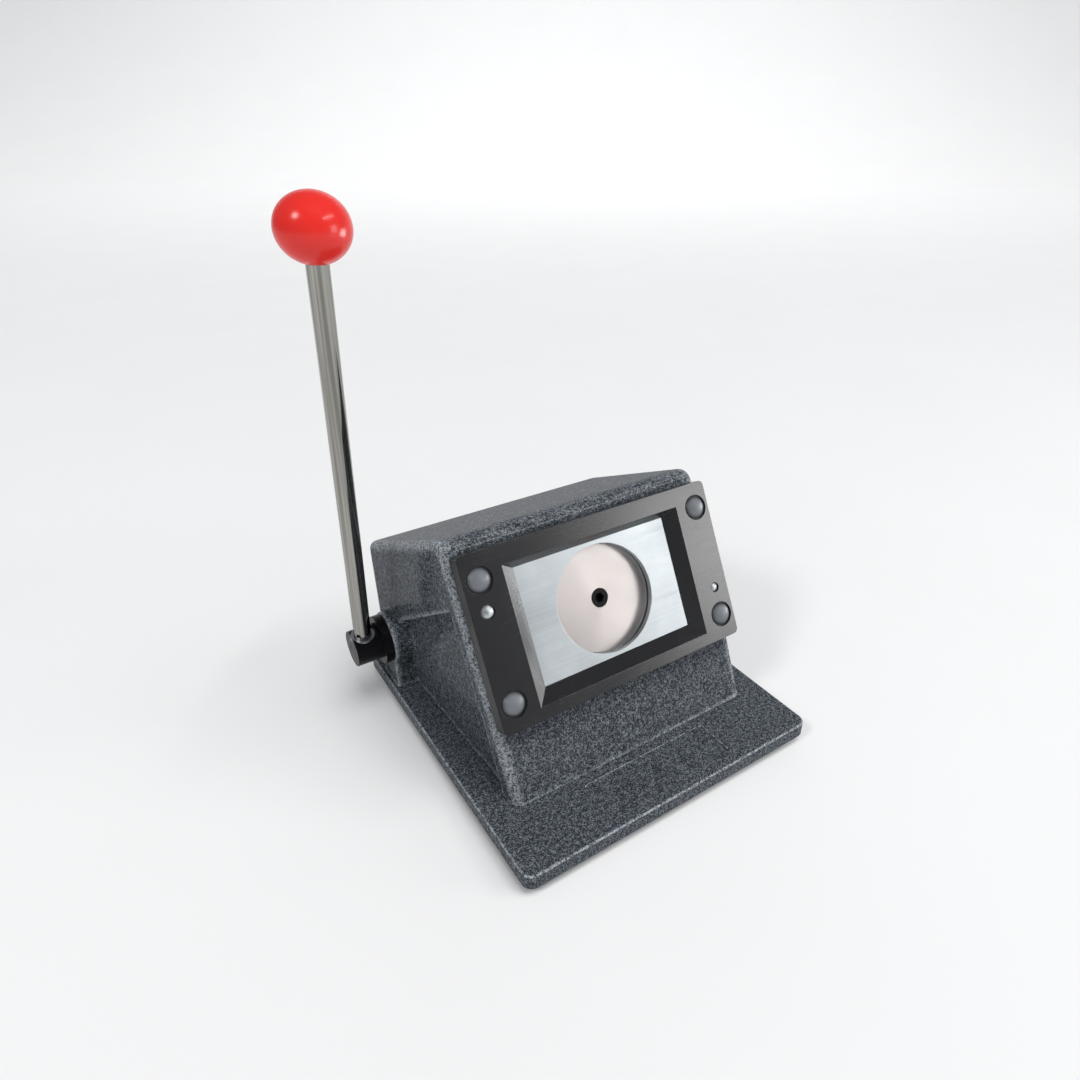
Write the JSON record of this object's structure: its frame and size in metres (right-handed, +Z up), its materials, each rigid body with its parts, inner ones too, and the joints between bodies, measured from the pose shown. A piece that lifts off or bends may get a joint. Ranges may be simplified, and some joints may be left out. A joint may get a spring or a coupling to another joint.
{
  "type": "circle paper cutter",
  "caption": "Desk-top lever cutter: a cast housing with a sloped, framed die, where a side lever turns an eccentric shaft that drives a round punch forward to cut discs from paper.",
  "frame": {"origin": "On the table plane, under the middle of the base plate", "axes": "+Z up; -Y to the front, the way the die faces; +X to the right of someone who looks at the die"},
  "size_m": [0.2169, 0.208, 0.3012],
  "materials": {
    "hammertone": "glossy dark grey hammertone paint on cast iron",
    "dark_steel": "oiled dark steel",
    "zinc_screws": "bright zinc",
    "foot_rubber": "matt black rubber",
    "ground_steel": "ground and turned steel",
    "satin_black": "satin black",
    "cap_plastic": "glossy dark grey plastic",
    "bronze": "bearing bronze",
    "shaft_black": "blackened steel with a soft shine",
    "rod_chrome": "polished chrome plate",
    "knob_red": "glossy red plastic"
  },
  "bodies": {
    "machine": {"base_plate": "hammertone", "body_casting": "hammertone", "base_screws": "zinc_screws", "rubber_feet": "foot_rubber", "foot_screws": "zinc_screws", "guide_plate": "ground_steel", "slot_spacer_left": "ground_steel", "slot_spacer_right": "ground_steel", "die_plate": "ground_steel", "front_frame": "satin_black", "frame_screws": "dark_steel", "screw_caps": "cap_plastic", "guide_pin_left": "ground_steel", "guide_pin_right": "ground_steel", "shaft_bush_left": "bronze", "shaft_bush_right": "bronze", "ram_bush": "bronze", "return_spring": "dark_steel"},
    "lever": {"eccentric_shaft": "shaft_black", "thrust_collar": "shaft_black", "collar_set_screw": "dark_steel", "retaining_ring": "dark_steel", "rod_washer": "ground_steel", "lever_rod": "rod_chrome", "ball_knob": "knob_red", "knob_insert": "bronze"},
    "ram": {"ram": "ground_steel", "yoke_cap": "dark_steel", "yoke_screws": "dark_steel", "punch": "ground_steel", "punch_screw": "dark_steel"}
  },
  "joints": [
    {"name": "lever_turn", "type": "hinge", "parent": "machine", "child": "lever", "pos_m": [0, 0.0714, 0.04573], "axis": [1, 0, 0], "range_deg": [0, 80]},
    {"name": "ram_slide", "type": "slide", "parent": "machine", "child": "ram", "axis": [0, -0.8942, 0.4478], "range_m": [0, 0.0071], "stiffness_N_per_m": 2100, "springref_m": -0.025, "deforming": ["return_spring"]}
  ],
  "couplings": [
    {"joint": "ram_slide", "follows": "lever_turn", "m_per_rad": 0.005064}
  ]
}
